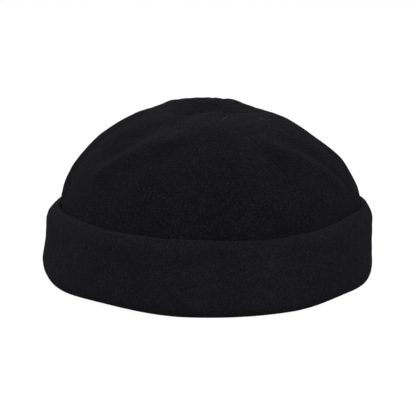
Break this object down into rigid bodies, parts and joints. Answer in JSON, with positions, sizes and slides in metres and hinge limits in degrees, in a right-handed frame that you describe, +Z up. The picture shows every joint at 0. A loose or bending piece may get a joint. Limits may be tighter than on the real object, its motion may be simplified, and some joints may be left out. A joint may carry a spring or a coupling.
{
  "type": "fisherman beanie",
  "caption": "Short close knitted cap of sewn gores with a broad doubled cuff turned up round it, hollow for a head.",
  "frame": {"origin": "middle of the underside of the whole cap's bounding box, on the surface it rests on", "axes": "+Z up through the crown, the wearer faces -Y, the wearer's left is +X"},
  "size_m": [0.2054, 0.2056, 0.1088],
  "materials": {
    "crown_knit": "black wool knit, milled to a soft felted nap",
    "cuff_knit": "black wool in fine upright ribs, slightly furry"
  },
  "bodies": {
    "root": {"crown_panel_front": "crown_knit", "crown_panel_front_left": "crown_knit", "crown_panel_front_right": "crown_knit", "crown_panel_back": "crown_knit", "crown_panel_back_left": "crown_knit", "crown_panel_back_right": "crown_knit", "turned_cuff": "cuff_knit"}
  },
  "joints": []
}
